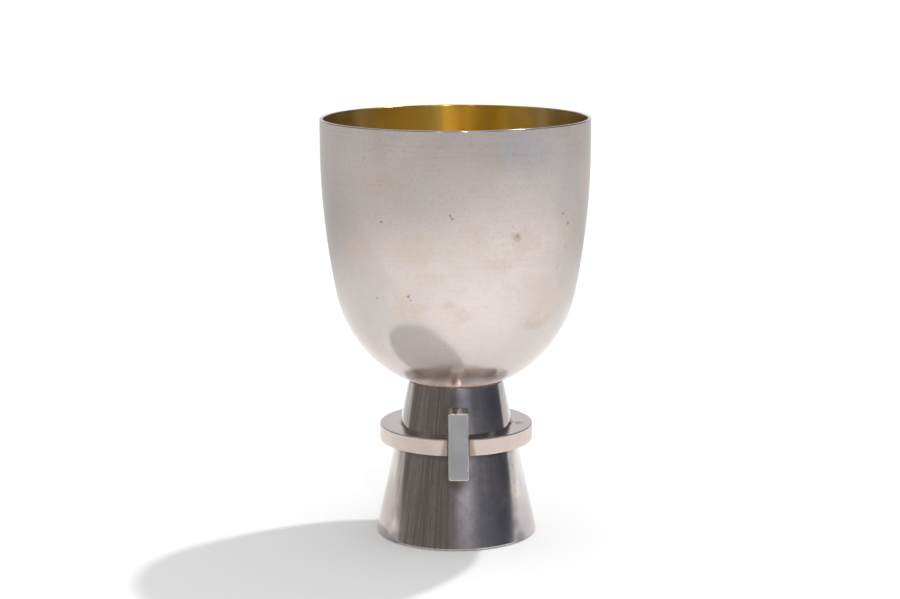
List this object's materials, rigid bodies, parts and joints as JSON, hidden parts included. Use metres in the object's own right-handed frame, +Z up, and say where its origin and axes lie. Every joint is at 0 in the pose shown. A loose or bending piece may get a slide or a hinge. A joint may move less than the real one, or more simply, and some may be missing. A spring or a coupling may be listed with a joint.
{
  "type": "chalice",
  "caption": "Silver chalice with a deep round-bottomed bowl, gilt inside, on a hollow cone foot with a flat ring and an upright bar that cross at the front.",
  "frame": {"origin": "centre of the foot's underside, on the surface that the chalice stands on", "axes": "+Z up along the axis of the bowl and foot; the cross faces -Y"},
  "size_m": [0.1022, 0.1022, 0.1607],
  "materials": {
    "satin_silver": "satin silver with a light warm bloom; the inside is gilt",
    "turned_silver": "lathe-turned silver, slightly darkened",
    "brushed_silver": "finely brushed silver"
  },
  "bodies": {
    "root": {"bowl": "satin_silver", "foot": "turned_silver", "ring": "brushed_silver", "cross_bar": "brushed_silver"}
  },
  "joints": []
}
